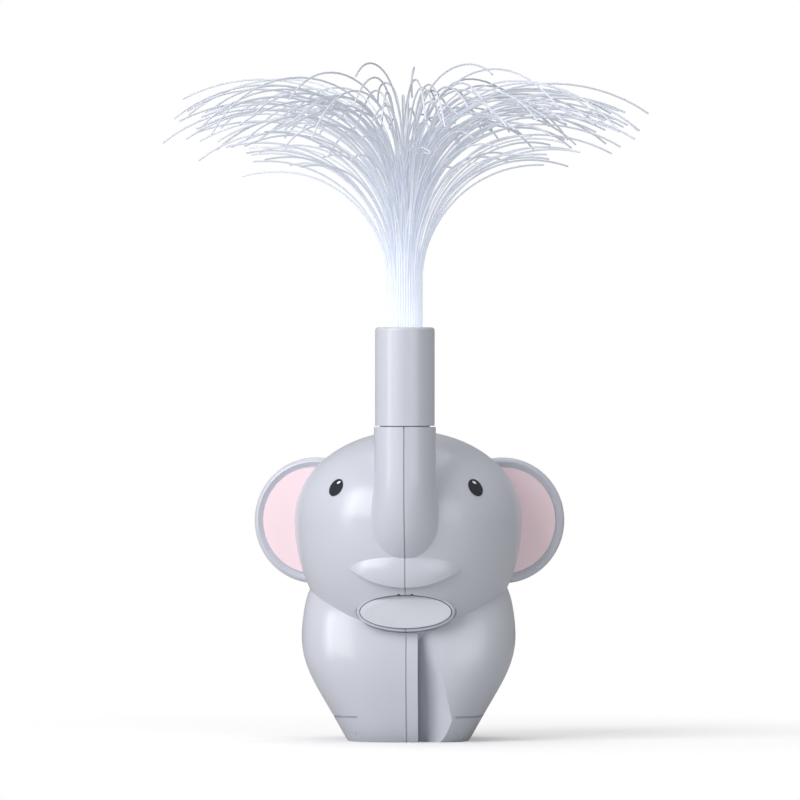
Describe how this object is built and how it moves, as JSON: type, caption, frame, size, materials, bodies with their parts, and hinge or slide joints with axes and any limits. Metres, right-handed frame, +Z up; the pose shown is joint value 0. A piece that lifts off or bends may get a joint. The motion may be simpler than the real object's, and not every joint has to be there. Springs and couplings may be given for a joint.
{
  "type": "fiber optic lamp",
  "caption": "Battery table lamp shaped like an elephant whose raised trunk holds a fountain of light-guide fibres, with a push button under the chin.",
  "frame": {"origin": "on the flat base, in the plane where the two halves of the body meet, midway between its front and back edges", "axes": "+Z up along the trunk, -Y the way the elephant faces, +X to the right of someone looking at its face"},
  "size_m": [0.1912, 0.1875, 0.2696],
  "materials": {
    "grey_shell": "moulded, satin gloss",
    "pink_lining": "moulded, satin",
    "eye_black": "polished",
    "button_grey": "moulded, satin gloss",
    "switch_black": "moulded",
    "board_green": "solder mask",
    "screw_steel": "zinc plated",
    "led_clear": "clear epoxy",
    "white_plastic": "moulded",
    "wire_red": "soft insulation",
    "wire_black": "soft insulation",
    "inner_grey": "moulded",
    "cell_jacket": "printed jacket without words",
    "contact_metal": "nickel plated",
    "ferrule_metal": "drawn tube",
    "fibre_clear": "clear light-guide fibre"
  },
  "bodies": {
    "body": {"left_shell": "grey_shell", "right_shell": "grey_shell", "left_ear": "grey_shell", "right_ear": "grey_shell", "left_ear_lining": "pink_lining", "right_ear_lining": "pink_lining", "left_eye": "eye_black", "right_eye": "eye_black", "push_switch": "switch_black", "main_board": "board_green", "control_chip": "switch_black", "board_screws": "screw_steel", "shell_screws": "screw_steel", "led_board": "board_green", "led": "led_clear", "light_cup": "white_plastic", "led_wires": "wire_red", "battery_wires": "wire_black", "battery_box": "inner_grey", "batteries": "cell_jacket", "contact_plates": "contact_metal", "contact_springs": "contact_metal"},
    "button": {"mode_button": "button_grey"},
    "door": {"battery_door": "grey_shell", "door_screw": "screw_steel"},
    "collar": {"collar": "grey_shell", "fibre_ferrule": "ferrule_metal", "fibres": "fibre_clear"}
  },
  "joints": [
    {"name": "button_press", "type": "slide", "parent": "body", "child": "button", "axis": [0, 1, 0], "range_m": [0, 0.0012], "stiffness_N_per_m": 400, "springref_m": -0.0002},
    {"name": "door_open", "type": "hinge", "parent": "body", "child": "door", "pos_m": [0, 0.0297, 0.0063], "axis": [-1, 0, 0], "range_deg": [0, 70]},
    {"name": "collar_lift", "type": "slide", "parent": "body", "child": "collar", "axis": [0, 0, 1], "range_m": [0, 0.016]}
  ]
}
